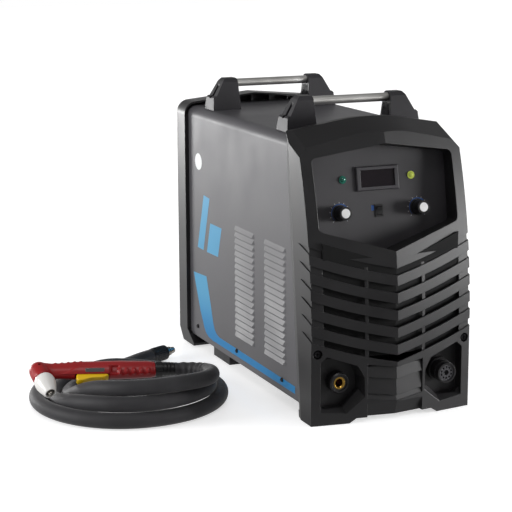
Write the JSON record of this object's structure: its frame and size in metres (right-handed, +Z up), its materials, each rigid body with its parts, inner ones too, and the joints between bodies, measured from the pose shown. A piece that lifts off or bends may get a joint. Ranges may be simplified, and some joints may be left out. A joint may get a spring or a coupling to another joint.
{
  "type": "plasma cutter unit",
  "caption": "Inverter plasma cutting unit with a prow-shaped vented front, control panel, two roof handles, a rear fan and a hand torch on a coiled lead.",
  "frame": {"origin": "on the floor under the middle of the cabinet, half way between the side edges of its front and its rear face", "axes": "+Z up, +Y from the control panel towards the rear, +X to the right of someone who faces the control panel"},
  "size_m": [0.7046, 0.667, 0.534],
  "materials": {
    "bezel_plastic": "fine spark-eroded texture, dark charcoal",
    "cover_paint": "fine textured powder coat, warm grey",
    "chassis_steel": "smooth black powder coat",
    "panel_sheet": "satin printed panel",
    "bracket_plastic": "fine texture, dark charcoal",
    "tube_steel": "brushed along its length",
    "fastener_steel": "zinc plated",
    "black_fastener": "black oxide",
    "display_frame": "satin dark grey",
    "display_glass": "dark tinted",
    "electronics_black": "moulded",
    "lamp_green": "clear tinted lens",
    "lamp_yellow": "clear tinted lens",
    "knob_plastic": "moulded",
    "cap_aluminium": "turned face",
    "brass": "machined",
    "socket_plastic": "moulded",
    "insert_grey": "moulded",
    "fan_plastic": "moulded",
    "guard_wire": "plated wire",
    "breaker_plastic": "moulded, light grey",
    "lever_plastic": "moulded",
    "gland_nylon": "moulded nylon",
    "sink_aluminium": "extruded",
    "module_plastic": "epoxy",
    "board_laminate": "solder mask",
    "ferrite": "sintered",
    "winding_copper": "enamelled copper",
    "torch_red": "moulded",
    "trigger_yellow": "moulded",
    "ceramic_white": "glazed ceramic",
    "tip_copper": "turned copper",
    "lead_rubber": "smooth sheath",
    "torch_black": "moulded"
  },
  "bodies": {
    "cabinet": {"front_bezel": "bezel_plastic", "rear_bezel": "bezel_plastic", "cover_shell": "cover_paint", "base_pan": "chassis_steel", "rear_plate": "chassis_steel", "block_feet": "black_fastener", "control_panel": "panel_sheet", "handle_bracket_front_left": "bracket_plastic", "handle_bracket_front_right": "bracket_plastic", "handle_bracket_rear_left": "bracket_plastic", "handle_bracket_rear_right": "bracket_plastic", "front_handle_tube": "tube_steel", "rear_handle_tube": "tube_steel", "handle_bolts": "fastener_steel", "cover_screws": "fastener_steel", "bezel_screws": "black_fastener", "display_bezel": "display_frame", "display_window": "display_glass", "display_module": "electronics_black", "power_lamp": "lamp_green", "fault_lamp": "lamp_yellow", "postflow_pot_body": "electronics_black", "current_pot_body": "electronics_black", "mode_rocker_frame": "knob_plastic", "torch_socket_body": "socket_plastic", "torch_socket_brass": "brass", "control_connector_body": "socket_plastic", "control_connector_insert": "insert_grey", "fan_frame": "fan_plastic", "fan_guard": "guard_wire", "breaker_body": "breaker_plastic", "mains_gland": "gland_nylon", "air_inlet": "brass", "air_valve": "brass", "earth_stud": "fastener_steel", "heatsinks": "sink_aluminium", "power_modules": "module_plastic", "power_board": "board_laminate", "transformer_core": "ferrite", "transformer_winding": "winding_copper", "control_board": "board_laminate", "torch_handle": "torch_red", "torch_head": "torch_red", "torch_shield_cup": "ceramic_white", "torch_tip": "tip_copper", "torch_nut": "torch_black", "torch_lead_tube": "lead_rubber", "torch_lead_coil": "lead_rubber", "torch_lead_tail": "lead_rubber", "lead_connector": "torch_black"},
    "current_knob_set": {"current_knob": "knob_plastic", "current_knob_cap": "cap_aluminium", "current_pot_shaft": "fastener_steel"},
    "postflow_knob_set": {"postflow_knob": "knob_plastic", "postflow_knob_cap": "cap_aluminium", "postflow_pot_shaft": "fastener_steel"},
    "mode_rocker_set": {"mode_rocker": "lever_plastic"},
    "fan_set": {"fan_rotor": "fan_plastic"},
    "breaker_lever_set": {"breaker_lever": "lever_plastic"},
    "torch_trigger_set": {"torch_trigger": "trigger_yellow"}
  },
  "joints": [
    {"name": "current_knob_turn", "type": "hinge", "parent": "cabinet", "child": "current_knob_set", "pos_m": [0.0734, -0.258, 0.3463], "axis": [0, 0.9848, -0.1736], "range_deg": [0, 270]},
    {"name": "postflow_knob_turn", "type": "hinge", "parent": "cabinet", "child": "postflow_knob_set", "pos_m": [-0.0734, -0.258, 0.3463], "axis": [0, 0.9848, -0.1736], "range_deg": [0, 270]},
    {"name": "mode_rocker_tilt", "type": "hinge", "parent": "cabinet", "child": "mode_rocker_set", "pos_m": [0, -0.258, 0.3463], "axis": [-1, 0, 0], "range_deg": [0, 16]},
    {"name": "fan_spin", "type": "hinge", "parent": "cabinet", "child": "fan_set", "pos_m": [0, 0.28, 0.15], "axis": [0, 1, 0], "continuous": true},
    {"name": "breaker_lever_tilt", "type": "hinge", "parent": "cabinet", "child": "breaker_lever_set", "pos_m": [-0.062, 0.318, 0.372], "axis": [1, 0, 0], "range_deg": [0, 44]},
    {"name": "torch_trigger_squeeze", "type": "hinge", "parent": "cabinet", "child": "torch_trigger_set", "pos_m": [-0.43077, -0.07514, 0.05908], "axis": [0.0657, 0.4187, -0.9058], "range_deg": [0, 6], "stiffness_Nm_per_rad": 2.5, "springref_deg": -3.44}
  ]
}
